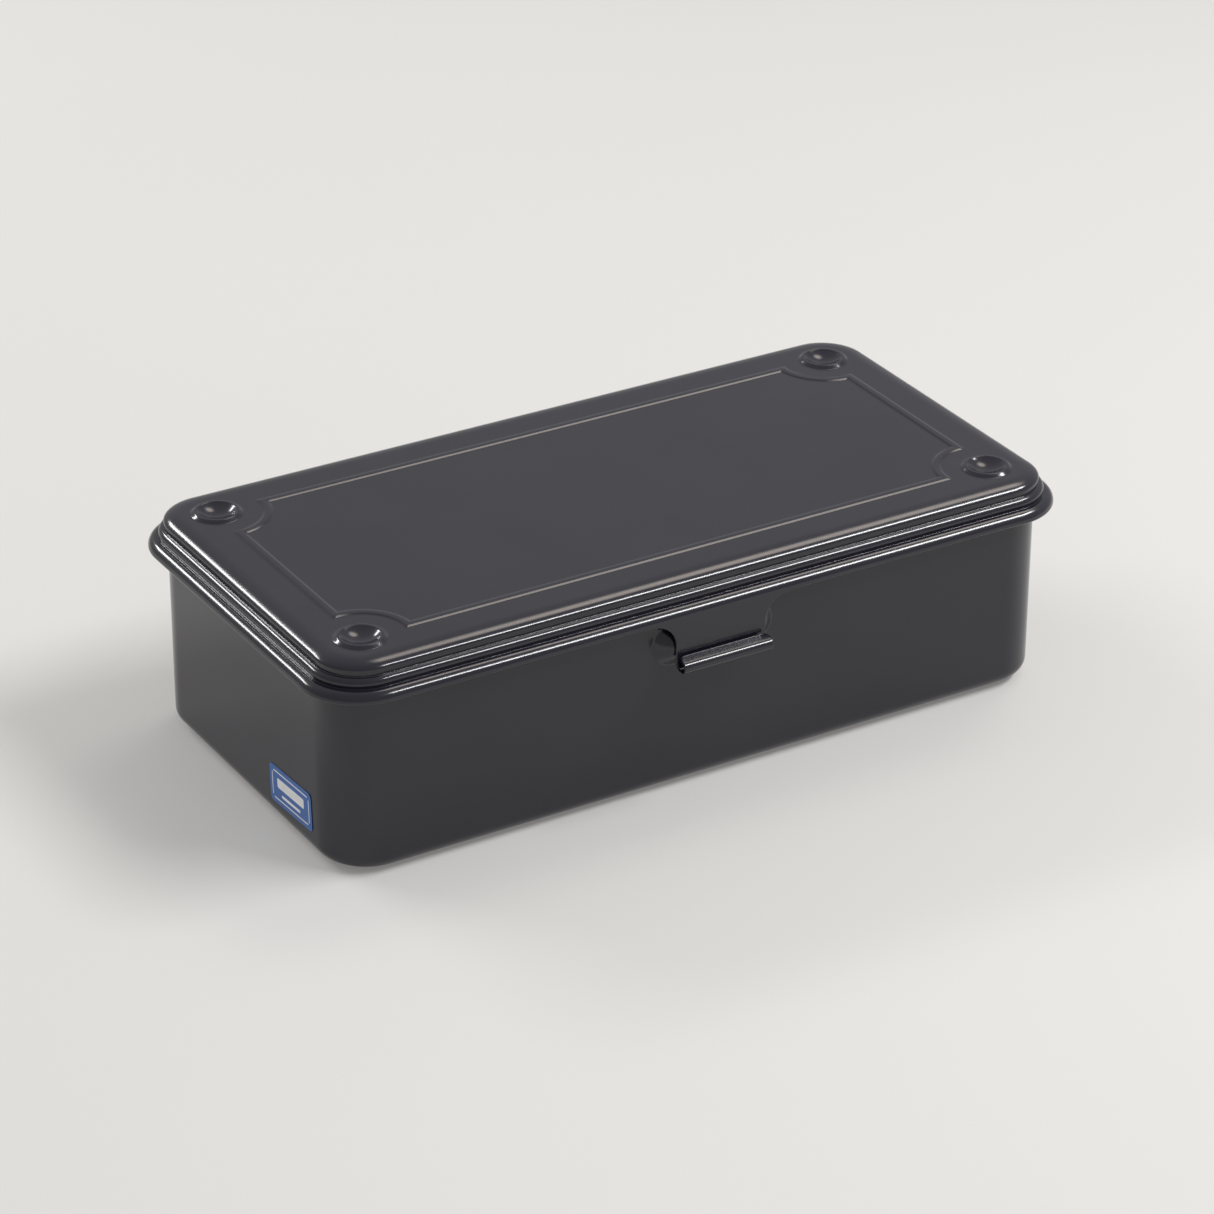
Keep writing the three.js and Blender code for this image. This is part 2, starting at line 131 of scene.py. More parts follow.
HINGE_X = 62.0
HINGE_HALF = 10.0
KNUCKLE_HALF = 4.0
KNUCKLE_GAP = 0.3
AXIS_Y = 51.6
AXIS_Z = 44.5
KNUCKLE_RADIUS = 1.46          # outside of the rolled knuckles
LEAF_BEND = 0.8
BODY_LEAF_FACE = 48.95
BODY_LEAF_BOTTOM = 34.0
LID_LEAF_TOP = 48.6
WELD_RADIUS = 1.3              # spot-weld dimples
WELD_DEPTH = 0.12
BODY_WELD_X, BODY_WELD_Z = 6.2, 38.0
LID_WELD_X, LID_WELD_Z = 7.0, 47.6
PIN_RADIUS = 0.76
PIN_HALF = 10.3
PIN_ROUND = 0.25               # edge radius of the pin's ends
PIN_SHOULDER = 0.05            # each end domes out this far where its round edge ends
PIN_DOME = 0.08                # and this far at its middle

LABEL_FACE_X = -97.57
LABEL_Y = -22.7
LABEL_Z = 11.0
LABEL_HALF_U = 10.3
LABEL_HALF_V = 4.85
LABEL_CORNER = 1.3
LABEL_THICKNESS = 0.12
LABEL_TILT = 3.0
LABEL_ROUND = 0.03             # the vinyl's own edge
LABEL_BORDER = 1.15            # blue edge outside the pale keyline
LABEL_KEYLINE = 0.32
LABEL_BARS = (                 # half length, half height, middle: plain bars stand in for the print
    (6.6, 1.25, (0.0, 0.85)),
    (4.6, 0.38, (0.0, -2.0)),
)
BAR_CORNER = 0.5

# ---- driving values of the looks ----------------------------------------------------------------

ENAMEL_TONES = (0.0100, 0.0098, 0.0165), (0.0125, 0.0122, 0.0200)
ENAMEL_RUBBED = (0.020, 0.020, 0.026)
ENAMEL_IOR = 1.55
WIRE_TONES = (0.34, 0.34, 0.35), (0.52, 0.52, 0.53)
LABEL_BLUES = (0.026, 0.115, 0.37), (0.032, 0.135, 0.42)
LABEL_WHITES = (0.76, 0.77, 0.78), (0.84, 0.85, 0.86)
FLOOR_TONES = (0.500, 0.491, 0.477), (0.510, 0.501, 0.487)
FLOOR_GLOW = 0.16              # the pale floor is lit through from below as well
FLOOR_GLOW_COLOUR = (1.0, 0.98, 0.96)
FLOOR_SIZE = 12                # metres

ROOM_COLOUR = (0.985, 0.985, 1.0)
ROOM_FRONT, ROOM_BACK = 0.40, 0.50
GLOW_PLACE = (120, 56)         # a warm patch of light on the wall, azimuth and elevation
GLOW_SPREAD = (math.cos(math.radians(13)), math.cos(math.radians(3)))
GLOW_LEVEL = 4.6
GLOW_COLOUR = (1.0, 0.90, 0.80)
LAMP_DISTANCE = 1.2            # metres
LEFT_LAMP = {"azimuth": -154, "elevation": 33, "width": 0.60, "height": 0.10, "radiance": 26}
RIGHT_LAMP = {"azimuth": 54, "elevation": 50, "width": 0.78, "height": 0.13, "radiance": 34}

CAMERA_AZIMUTH = -31.81
CAMERA_ELEVATION = 27.92
CAMERA_ROLL = 0.63
CAMERA_DISTANCE = 1094.2
CAMERA_RIGHT = 15.03
CAMERA_UP = 20.33
CAMERA_LIFT = 0.6
CAMERA_LENS = 132.88
CAMERA_SENSOR = 36
CAMERA_SHIFT_X = -0.0494

# ---- places worked out from the frame and from the values above ---------------------------------

LID_LOW, LID_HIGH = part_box("lid_shell")
LID_HALF_X = (LID_HIGH.x - LID_LOW.x) / 2 / MM
LID_HALF_Y = (LID_HIGH.y - LID_LOW.y) / 2 / MM
MIDDLE = (LID_HIGH.y + LID_LOW.y) / 2          # the pieces are drawn about the middle of the lid
WINDOW_LOW = BOSS_Z - BOSS_RADIUS - BOSS_WINDOW
WINDOW_HIGH = BOSS_Z + BOSS_RADIUS + BOSS_WINDOW

# ---- curves -----------------------------------------------------------------------------------


def arc(cx, cy, rx, ry, start, end, steps):
    """Points along a circular or elliptic arc, both ends included; angles in degrees."""
    angles = [math.radians(start + (end - start) * i / steps) for i in range(steps + 1)]
    return [(cx + rx * math.cos(a), cy + ry * math.sin(a)) for a in angles]


def smooth(t):
    """An even ease from 0 to 1, held at both ends."""
    t = min(max(t, 0.0), 1.0)
    return t * t * (3 - 2 * t)


def eased(t, ends=0.2):
    """A straight slope from 0 to 1 that is rounded off over a short stretch at both ends."""
    low = min(t, 1 - t)
    rise = low * low / (2 * ends) if low < ends else low - ends / 2
    rise /= 1 - ends
    return rise if t < 0.5 else 1 - rise


def guarded(points, guard=GUARD):
    """The same line with a point close to each end of every long straight stretch."""
    result = [points[0]]
    for a, b in zip(points, points[1:]):
        length = math.dist(a, b)
        if length > 3 * guard:
            for t in (guard / length, 1 - guard / length):
                result.append(tuple(p + (q - p) * t for p, q in zip(a, b)))
        result.append(b)
    return result


def rounded_plan(half_x, half_y, radius, front=()):
    """Base points and outward normals round a rounded rectangle, with extra ones along the front."""
    cx, cy = half_x - radius, half_y - radius
    plan = []
    for quadrant, (sx, sy) in enumerate(((1, 1), (-1, 1), (-1, -1), (1, -1))):
        for i in range(CORNER_STEPS + 1):
            a = math.radians(90 * (quadrant + i / CORNER_STEPS))
            plan.append(((sx * cx, sy * cy), (math.cos(a), math.sin(a))))
        nx, ny = ((0, 1), (-1, 0), (0, -1), (1, 0))[quadrant]
        reach = (cx if ny else cy) - 2 * GUARD
        stops = front if ny < 0 else ()
        for p in (-reach, *stops, reach):
            plan.append(((nx * cx - ny * p, ny * cy + nx * p), (nx, ny)))
    return plan


# ---- sheet surfaces -----------------------------------------------------------------------------


def in_frame(co):
    """A place in millimetres about the middle of the lid, as metres in the shared frame."""
    return Vector(co) * MM + Vector((0, MIDDLE, 0))


class Sheet:
    """One face of a steel pressing, gathered patch by patch, then thickened with rounded edges."""

    def __init__(self):
        self.bm = bmesh.new()

    def point(self, co):
        return self.bm.verts.new(in_frame(co))

    def grid(self, rows, wrap=False, keep=lambda i, j: True):
        """Quads between rows of points; keep says which cells exist."""
        verts = [[self.point(co) for co in row] for row in rows]
        for i, (low, high) in enumerate(zip(verts, verts[1:])):
            count = len(low) if wrap else len(low) - 1
            for j in range(count):
                k = (j + 1) % len(low)
                if keep(i, j):
                    self.bm.faces.new((low[j], low[k], high[k], high[j]))
        return verts

    def fill(self, loops):
        """Flat fill between closed loops of points that lie in one plane."""
        edges = []
        for loop in loops:
            verts = [self.point(co) for co in loop]
            edges += [self.bm.edges.new((a, b)) for a, b in zip(verts, verts[1:] + verts[:1])]
        bmesh.ops.triangle_fill(self.bm, use_beauty=True, edges=edges)

    def weld(self, distance=0.002):
        bmesh.ops.remove_doubles(self.bm, verts=self.bm.verts, dist=distance * MM)
        loose = [v for v in self.bm.verts if not v.link_faces]
        bmesh.ops.delete(self.bm, geom=loose, context="VERTS")

    def face_out(self, probe, direction):
        """Makes all faces agree, with the one nearest the probe point facing the direction."""
        bmesh.ops.recalc_face_normals(self.bm, faces=self.bm.faces)
        self.bm.normal_update()
        target = in_frame(probe)
        nearest = min(self.bm.faces, key=lambda f: (f.calc_center_median() - target).length)
        if nearest.normal.dot(Vector(direction)) < 0:
            bmesh.ops.reverse_faces(self.bm, faces=self.bm.faces)

    def thicken(self, thickness=SHEET, edge_steps=6):
        """Adds the other face, one thickness behind, and half-round edges between the two."""
        bm = self.bm
        bm.normal_update()
        half = thickness * MM / 2
        angles = [math.pi * k / edge_steps for k in range(1, edge_steps)]
        faces = list(bm.faces)
        rims = [(loop.vert, loop.link_loop_next.vert, loop.face.normal.copy())
                for face in faces for loop in face.loops if loop.edge.is_boundary]
        away = {}
        for a, b, normal in rims:
            side = (b.co - a.co).normalized().cross(normal)
            for v in (a, b):
                away[v] = away.get(v, Vector()) + side
        behind = {v: bm.verts.new(v.co - v.normal * 2 * half) for v in list(bm.verts)}
        rows = {}
        for v, side in away.items():
            side.normalize()
            middle = [v.co - v.normal * half * (1 - math.cos(a)) + side * half * math.sin(a) for a in angles]
            middle = [bm.verts.new(co) for co in middle]
            rows[v] = [v, *middle, behind[v]]
        for face in faces:
            bm.faces.new([behind[v] for v in reversed(face.verts)])
        for a, b, _ in rims:
            for k in range(edge_steps):
                bm.faces.new((rows[b][k], rows[a][k], rows[a][k + 1], rows[b][k + 1]))

    def finish(self, name, material):
        """Turns the gathered faces into a smooth-shaded piece of the scene."""
        mesh = bpy.data.meshes.new(name)
        self.bm.to_mesh(mesh)
        self.bm.free()
        mesh.polygons.foreach_set("use_smooth", [True] * len(mesh.polygons))
        mesh.materials.append(material)
        piece = bpy.data.objects.new(name, mesh)
        bpy.context.scene.collection.objects.link(piece)
        return piece


def swept(plan, section):
    """Rows of points: the section's (distance out, height) carried round the plan."""
    return [[(base[0] + out * n[0], base[1] + out * n[1], z) for base, n in plan]
            for out, z in section]


def ring(cx, cy, radius, z):
    """Points evenly spaced round a level circle."""
    angles = [2 * math.pi * i / ROUND_STEPS for i in range(ROUND_STEPS)]
    return [(cx + radius * math.cos(a), cy + radius * math.sin(a), z) for a in angles]


def cup_places():
    """Middles of the four cups in the lid, and of the feet below them."""
    return [(sx * CUP_X, sy * CUP_Y) for sx in (-1, 1) for sy in (-1, 1)]


# ---- lid ----------------------------------------------------------------------------------------


def lid_section():
    """From the skirt's lower edge up over both tiers to the flat border of the top."""
    lower = LID_CORNER - LOWER_TIER_INSET
    upper = LID_CORNER - UPPER_TIER_INSET
    f = TIER_FILLET
    lower_round, shoulder_run = LOWER_TIER_ROUND, SHOULDER_RUN
    return guarded([
        *arc(LID_CORNER - SKIRT_ROUND, SHELF_Z - SKIRT_ROUND, SKIRT_ROUND, SKIRT_ROUND, 0, 90, steps=14),
        *arc(lower - TIER_UNDERCUT + f, SHELF_Z + f, f, f, 270, 180, steps=4),
        *arc(lower - lower_round, LOWER_TIER_Z - lower_round, lower_round, lower_round, 0, 90, steps=10),
        *arc(upper - TIER_UNDERCUT + f, LOWER_TIER_Z + f, f, f, 270, 180, steps=4),
        *arc(upper - shoulder_run, LID_TOP - SHOULDER_DROP, shoulder_run, SHOULDER_DROP, 0, 90, steps=20),
        (upper - shoulder_run - GUARD, LID_TOP),
    ], TIER_GUARD)


def skirt_curl_rows(plan):
    """The skirt's lowest strip, curled inwards except beside the tongue, where it runs straight."""
    root = TONGUE_HALF + TONGUE_FILLET
    fades = [smooth((abs(base[0]) - root) / CURL_FADE) if n == (0, -1) else 1.0 for base, n in plan]
    steps = 4
    rows = []
    for k in range(steps + 1):
        a = CURL_ANGLE * (1 - k / steps)
        row = []
        for (base, n), fade in zip(plan, fades):
            out = LID_CORNER - SKIRT_CURL * fade * (1 - math.cos(a))
            rise = SKIRT_CURL * fade * (math.sin(CURL_ANGLE) - math.sin(a))
            row.append((base[0] + out * n[0], base[1] + out * n[1], SKIRT_BOTTOM + EDGE + rise))
        rows.append(row)
    return rows


def bead_loop(shift, z):
    """Closed outline of the border bead at a distance inside its middle line."""
    half_x, half_y, radius = BEAD_X - shift, BEAD_Y - shift, BEAD_ARC + shift
    start = math.pi - math.asin((half_y - CUP_Y) / radius)
    end = 1.5 * math.pi + math.asin((half_x - CUP_X) / radius)
    steps = 24
    loop = []
    for sx, sy in ((1, 1), (-1, 1), (-1, -1), (1, -1)):
        angles = [start + (end - start) * i / steps for i in range(steps + 1)]
        corner = [(sx * (CUP_X + radius * math.cos(a)), sy * (CUP_Y + radius * math.sin(a)), z)
                  for a in angles]
        loop += reversed(corner) if sx * sy > 0 else corner
    return guarded([*loop, loop[0]])[:-1]


def bead_rows():
    """The bead's loops from its outer foot to its inner foot, with a flat margin on both sides."""
    steps = 8
    flank = [(i / steps * BEAD_FLANK, BEAD_HEIGHT * eased(i / steps)) for i in range(steps + 1)]
    profile = [(run - BEAD_HALF, rise) for run, rise in flank]
    profile += [(BEAD_HALF - run, rise) for run, rise in reversed(flank)]
    profile = [(-BEAD_HALF - GUARD, 0.0), *profile, (BEAD_HALF + GUARD, 0.0)]
    return [bead_loop(shift, LID_TOP + rise) for shift, rise in profile]


def cup_profile():
    """(radius, height above the panel) from the flat margin over the raised rim into the dish."""
    steps = 10
    rise = [(CUP_OUTER + (CUP_CREST - CUP_OUTER) * i / steps, CUP_RIM_HEIGHT * eased(i / steps))
            for i in range(steps + 1)]
    slope = math.radians(DISH_SLOPE)
    edge = arc(CUP_EDGE, CUP_RIM_HEIGHT - CUP_EDGE_ROUND, CUP_EDGE_ROUND, CUP_EDGE_ROUND,
               90, 90 + DISH_SLOPE, steps=6)
    edge_r, edge_z = edge[-1]
    sphere = edge_r / math.sin(slope)
    centre_z = edge_z + sphere * math.cos(slope)
    dish = arc(0, centre_z, sphere, sphere, DISH_SLOPE - 90, -90, steps=14)
    return [(CUP_OUTER + CUP_MARGIN, 0.0), *rise, *edge, *dish[1:-1]]


def add_pressing(sheet, cx, cy, profile, base_z):
    """A round pressing: rings of points, closed by a fan at the middle. Returns the outer ring."""
    rows = [ring(cx, cy, r, base_z + rise) for r, rise in profile]
    verts = sheet.grid(rows, wrap=True)
    middle = sheet.point((cx, cy, base_z + profile[-1][1]))
    last = verts[-1]
    for a, b in zip(last, last[1:] + last[:1]):
        sheet.bm.faces.new((a, b, middle))
    return rows[0]


def tongue_columns(count=28):
    """Positions across the tongue from -1 to 1, closer together at its edges."""
    return [math.sin(math.pi / 2 * (2 * i / count - 1)) for i in range(count + 1)]


def tongue_half_width(z):
    """Half the tongue's width at a height, wider at the root because of the concave fillets."""
    rise = max(z - (SKIRT_BOTTOM - TONGUE_FILLET), 0.0)
    radius = TONGUE_FILLET + EDGE
    return TONGUE_HALF + TONGUE_FILLET - math.sqrt(max(radius ** 2 - rise ** 2, 0.0))


def roll_section(front_y):
    """Middle line of the rolled end: down the back, under the nose and up to the flap's start."""
    mid_y = front_y + EDGE
    back = ROLL_BACK_RADIUS - EDGE
    nose = ROLL_NOSE_RADIUS - EDGE
    low = ROLL_BOTTOM + EDGE
    nose_y = front_y - ROLL_NOSE_REACH
    line = arc(mid_y - back, low + back, back, back, 0, -90, steps=14)
    return line + arc(nose_y, low + nose, nose, nose, 270, 180 - FLAP_TILT, steps=18)


def flap_end(x):
    """How far the flap reaches at a place across the tongue, with rounded outer corners."""
    over = max(abs(x) - (TONGUE_HALF - FLAP_CORNER), 0.0)
    radius = FLAP_CORNER - EDGE
    return FLAP_LENGTH - FLAP_CORNER + math.sqrt(max(radius ** 2 - over ** 2, 0.0))


def outer_face(line):
    """The front face of a sheet, half its thickness outside a middle line of (y, z) points."""
    face = []
    for i, (y, z) in enumerate(line):
        before, after = line[max(i - 1, 0)], line[min(i + 1, len(line) - 1)]
        dy, dz = after[0] - before[0], after[1] - before[1]
        length = math.hypot(dy, dz)
        face.append((y + EDGE * dz / length, z - EDGE * dy / length))
    return face


def tongue_rows():
    """The tongue's front face, from the skirt down, round the roll and back over the flap."""
    front_y = -LID_HALF_Y
    columns = tongue_columns()
    reach, steps = TONGUE_FILLET + EDGE, 12
    heights = [SKIRT_BOTTOM - TONGUE_FILLET + reach * math.cos(math.pi / 2 * i / steps)
               for i in range(steps + 1)]
    section = roll_section(front_y)
    drop = section[0][1] - heights[-1]
    heights += [heights[-1] + drop * t for t in STRAIGHT_STOPS]
    rows = [[(u * tongue_half_width(z), front_y, z) for u in columns] for z in heights]
    across = [u * (TONGUE_HALF - EDGE) for u in columns]
    face = outer_face(section)
    rows += [[(x, y, z) for x in across] for y, z in face]
    end_y, end_z = face[-1]
    tilt = math.radians(FLAP_TILT)
    back, up = math.sin(tilt), math.cos(tilt)
    for t in FLAP_STOPS:
        rows.append([(x, end_y + t * flap_end(x) * back, end_z + t * flap_end(x) * up) for x in across])
    return rows


def make_lid(material):
    """The lid and its tongue: one pressing that bends where the tongue meets the skirt."""
    root = TONGUE_HALF + TONGUE_FILLET
    steps = 4
    fade = [root + CURL_FADE * (i + 1) / steps for i in range(steps)]
    front = [-x for x in reversed(fade)] + [root * u for u in tongue_columns()] + fade
    sheet = Sheet()
    plan = rounded_plan(LID_HALF_X, LID_HALF_Y, LID_CORNER, front)
    rows = skirt_curl_rows(plan) + swept(plan, lid_section())
    sheet.grid(rows, wrap=True)
    bead = bead_rows()
    sheet.grid(bead, wrap=True)
    cups = [add_pressing(sheet, x, y, cup_profile(), LID_TOP) for x, y in cup_places()]
    sheet.fill([rows[-1], bead[0], *cups])
    sheet.fill([bead[-1]])
    sheet.grid(tongue_rows())
    sheet.weld()
    sheet.face_out((0, 0, LID_TOP), (0, 0, 1))
    sheet.thicken()
    piece = sheet.finish("lid_pressing", material)
    in_frame((0, -LID_HALF_Y, SKIRT_BOTTOM - EDGE))
    in_frame((0, -LID_HALF_Y, SKIRT_BOTTOM - TONGUE_FILLET))
    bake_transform(piece)
    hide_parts("lid_shell", "latch_tongue")


# ---- body ---------------------------------------------------------------------------------------


def body_section():
    """From the flat floor round the base and up the wall to the end of the rolled rim."""
    wall = BODY_CORNER
    curl = RIM_CURL - EDGE
    curl_z = RIM_TOP - RIM_CURL - EDGE
    return guarded([
        (wall - BASE_ROUND - GUARD, FLOOR_Z),
        *arc(wall - BASE_ROUND, FLOOR_Z + BASE_ROUND, BASE_ROUND, BASE_ROUND, 270, 360, steps=14),
        (wall, WINDOW_LOW),
        (wall, WINDOW_HIGH),
        *arc(wall + curl, curl_z, curl, curl, 180, -10, steps=14),
    ])


def foot_profile():
    """(radius, height above the floor pan's face) from the flat margin down to the foot."""
    steps = 8
    flank = [(FOOT_OUTER + (FOOT_FLAT - FOOT_OUTER) * i / steps, -FLOOR_Z * smooth(i / steps))
             for i in range(steps + 1)]
    return [(FOOT_OUTER + FOOT_MARGIN, 0.0), *flank, (FOOT_MIDDLE, -FLOOR_Z)]


def boss_loop(radius, y):
    """Outline of a long rounded shape on the front wall."""
    straight = BOSS_HALF - BOSS_RADIUS
    right = arc(straight, BOSS_Z, radius, radius, -90, 90, steps=24)
    left = arc(-straight, BOSS_Z, radius, radius, 90, 270, steps=24)
    return [(x, y, z) for x, z in right + left]


def boss_rows(wall_y):
    """Loops of the embossed catch, from a flat margin up its flank to the crest."""
    reach = BOSS_RADIUS + BOSS_FOOT
    rows = [boss_loop(reach + BOSS_MARGIN, wall_y)]
    steps = 26
    for i in range(steps + 1):
        u = 1 - i / (steps + 1)
        rows.append(boss_loop(reach * u, wall_y - BOSS_DEPTH * (1 - u * u) ** BOSS_FULLNESS))
    return rows


def make_body(material):
    """The drawn pan; the wall round the catch is left open by its grid and filled flat."""
    half_x, half_y = BODY_LENGTH / 2, BODY_WIDTH / 2
    window = BOSS_HALF + BOSS_WINDOW
    section = body_section()
    plan = rounded_plan(half_x, half_y, BODY_CORNER, [-window, window])
    rows = swept(plan, section)

    def outside_window(i, j):
        base, normal = plan[j]
        in_x = normal == (0, -1) and abs(base[0] + window) < SAME
        in_z = WINDOW_LOW - SAME <= section[i][1] < WINDOW_HIGH - SAME
        return not (in_x and in_z)

    sheet = Sheet()
    sheet.grid(rows, wrap=True, keep=outside_window)
    heights = [z for out, z in section if WINDOW_LOW - SAME <= z <= WINDOW_HIGH + SAME]
    window_loop = [(-window, -half_y, z) for z in heights]
    window_loop += [(window, -half_y, z) for z in reversed(heights)]
    boss = boss_rows(-half_y)
    sheet.grid(boss, wrap=True)
    sheet.bm.faces.new([sheet.point(co) for co in boss[-1]])
    sheet.fill([window_loop, boss[0]])
    feet = [add_pressing(sheet, x, y, foot_profile(), FLOOR_Z) for x, y in cup_places()]
    sheet.fill([rows[0], *feet])
    sheet.weld()
    sheet.face_out((0, 0, FLOOR_Z), (0, 0, -1))
    sheet.thicken()
    piece = sheet.finish("body_pressing", material)
    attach(piece, "case")
    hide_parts("body_shell")


# ---- hinges -------------------------------------------------------------------------------------


def weld_dimple(x, z, spots):
    """Depth of the spot-weld dimples at a place on a leaf."""
    nearest = min(math.dist((x, z), spot) for spot in spots)
    return WELD_DEPTH * smooth(1 - nearest / WELD_RADIUS)


def leaf_columns(split):
    """Places across a leaf, with one exactly at each side of its notch."""
    outer, steps = HINGE_HALF - EDGE, 14
    wings = [split + (outer - split) * i / steps for i in range(steps + 1)]
    middle = [-split + 2 * split * i / steps for i in range(1, steps)]
    return [-x for x in reversed(wings)] + middle + wings


def leaf_sheet(centre_x, section, split, keep, spots):
    """One hinge leaf: its profile carried across its width, where keep(x, z, flat) says so."""
    columns = leaf_columns(split)
    flat_y = section[0][0]
    rows = []
    for y, z in section:
        flat = abs(y - flat_y) < SAME
        sink = [weld_dimple(x, z, spots) if flat else 0.0 for x in columns]
        rows.append([(centre_x + x, y - d, z) for x, d in zip(columns, sink)])

    def kept(i, j):
        x = (columns[j] + columns[j + 1]) / 2
        z = (section[i][1] + section[i + 1][1]) / 2
        return keep(x, z, abs(section[i + 1][0] - flat_y) < SAME)

    sheet = Sheet()
    sheet.grid(rows, keep=kept)
    sheet.weld()
    sheet.face_out((centre_x + HINGE_HALF, *section[0]), (0, 1, 0))
    sheet.thicken()
    return sheet


def add_leaf(sheet, name, body, node, material):
    piece = sheet.finish(name, material)
    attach(piece, body)
    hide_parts(node)


def fine(a, b, step=0.3):
    """Points from a to b in small steps, without the last one."""
    count = max(1, round(math.dist(a, b) / step))
    return [tuple(p + (q - p) * i / count for p, q in zip(a, b)) for i in range(count)]


def make_case_leaf(side, centre_x, material):
    """The leaf on the body's back wall: a plate, a bend out to the axis and two knuckles."""
    bend_z = AXIS_Z - KNUCKLE_RADIUS - LEAF_BEND
    face = BODY_LEAF_FACE
    section = [
        *fine((face, BODY_LEAF_BOTTOM + EDGE), (face, bend_z - EDGE)),
        *fine((face, bend_z - EDGE), (face, bend_z)),
        *arc(face + LEAF_BEND, bend_z, LEAF_BEND, LEAF_BEND, 180, 90, steps=8),
        *arc(AXIS_Y, AXIS_Z, KNUCKLE_RADIUS, KNUCKLE_RADIUS, -90, 180, steps=32),
    ]
    notch = KNUCKLE_HALF + KNUCKLE_GAP + EDGE
    spots = [(-BODY_WELD_X, BODY_WELD_Z), (BODY_WELD_X, BODY_WELD_Z)]

    def keep(x, z, flat):
        return abs(x) > notch or (flat and z < bend_z - EDGE)

    sheet = leaf_sheet(centre_x, section, notch, keep, spots)
    add_leaf(sheet, "hinge_case_leaf_" + side, "case", "hinge_body_leaf_" + side, material)


def make_cover_leaf(side, centre_x, material):
    """The leaf on the lid's skirt: a short plate and the middle knuckle."""
    top_z = AXIS_Z + KNUCKLE_RADIUS + KNUCKLE_GAP + EDGE
    face = AXIS_Y + KNUCKLE_RADIUS
    section = [
        *fine((face, LID_LEAF_TOP - EDGE), (face, top_z), 0.2),
        *fine((face, top_z), (face, AXIS_Z)),
        *arc(AXIS_Y, AXIS_Z, KNUCKLE_RADIUS, KNUCKLE_RADIUS, 0, -270, steps=32),
    ]
    knuckle = KNUCKLE_HALF - EDGE
    spots = [(-LID_WELD_X, LID_WELD_Z), (LID_WELD_X, LID_WELD_Z)]

    def keep(x, z, flat):
        return abs(x) < knuckle or (flat and z > top_z)

    sheet = leaf_sheet(centre_x, section, knuckle, keep, spots)
    add_leaf(sheet, "hinge_cover_leaf_" + side, "lid", "hinge_lid_leaf_" + side, material)


def make_pin(side, centre_x, material):
    """A drawn wire pin with slightly domed, rounded ends."""
    r = PIN_ROUND
    end = arc(PIN_HALF - r, PIN_RADIUS - r, r, r, 0, 90, steps=6)
    profile = [(PIN_HALF + PIN_SHOULDER, r), *end]
    profile += [(-x, r) for x, r in reversed(profile)]
    steps = 32
    angles = [2 * math.pi * i / steps for i in range(steps)]
    rows = [[(centre_x + x, AXIS_Y + r * math.cos(a), AXIS_Z + r * math.sin(a)) for a in angles]
            for x, r in profile]
    sheet = Sheet()
    verts = sheet.grid(rows, wrap=True)
    for row, x in ((verts[0], PIN_HALF + PIN_DOME), (verts[-1], -PIN_HALF - PIN_DOME)):
        tip = sheet.point((centre_x + x, AXIS_Y, AXIS_Z))
        for a, b in zip(row, row[1:] + row[:1]):
            sheet.bm.faces.new((a, b, tip))
    bmesh.ops.recalc_face_normals(sheet.bm, faces=sheet.bm.faces)
    piece = sheet.finish("hinge_wire_" + side, material)
    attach(piece, "case")
    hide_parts("hinge_pin_" + side)


# ---- label --------------------------------------------------------------------------------------


def rounded_outline(half_u, half_v, radius, middle=(0, 0)):
    """Outline of a rounded rectangle on the label, in the label's own u and v."""
    corners = ((1, 1, 0), (-1, 1, 90), (-1, -1, 180), (1, -1, 270))
    points = []
    for su, sv, start in corners:
        points += arc(middle[0] + su * (half_u - radius), middle[1] + sv * (half_v - radius),
                      radius, radius, start, start + 90, steps=10)
    return points


def inside(point, half_u, half_v, middle=(0, 0)):
    """Whether a point of the label lies within a rectangle of it."""
    return abs(point[0] - middle[0]) < half_u and abs(point[1] - middle[1]) < half_v


def label_place(u, v, lift=0.0):
    """A point of the label: u to the right, v up, as seen from outside the left end."""
    t = math.radians(LABEL_TILT)
    right = u * math.cos(t) - v * math.sin(t)
    up = u * math.sin(t) + v * math.cos(t)
    return (LABEL_FACE_X - lift, LABEL_Y - right, LABEL_Z + up)


def label_sheet():
    """The label's faces: rims from the wall out to the keyline, and the bars inside it."""
    key_u, key_v = LABEL_HALF_U - LABEL_BORDER, LABEL_HALF_V - LABEL_BORDER
    corner, turn, line = LABEL_CORNER, LABEL_ROUND, LABEL_KEYLINE
    outlines = [
        (LABEL_HALF_U, LABEL_HALF_V, corner, turn - LABEL_THICKNESS),
        (LABEL_HALF_U, LABEL_HALF_V, corner, -turn),
        (LABEL_HALF_U - turn, LABEL_HALF_V - turn, corner - turn, 0.0),
        (key_u, key_v, corner, 0.0),
        (key_u - line, key_v - line, corner - line, 0.0),
    ]
    rows = [[label_place(u, v, lift) for u, v in rounded_outline(a, b, r)] for a, b, r, lift in outlines]
    bars = [[label_place(u, v) for u, v in rounded_outline(a, b, min(b * 0.9, BAR_CORNER), middle)]
            for a, b, middle in LABEL_BARS]
    sheet = Sheet()
    sheet.grid(rows, wrap=True)
    sheet.fill([rows[-1], *bars])
    for bar in bars:
        sheet.fill([bar])
    sheet.fill([rows[0]])
    sheet.weld(0.001)
    bmesh.ops.recalc_face_normals(sheet.bm, faces=sheet.bm.faces)
    return sheet


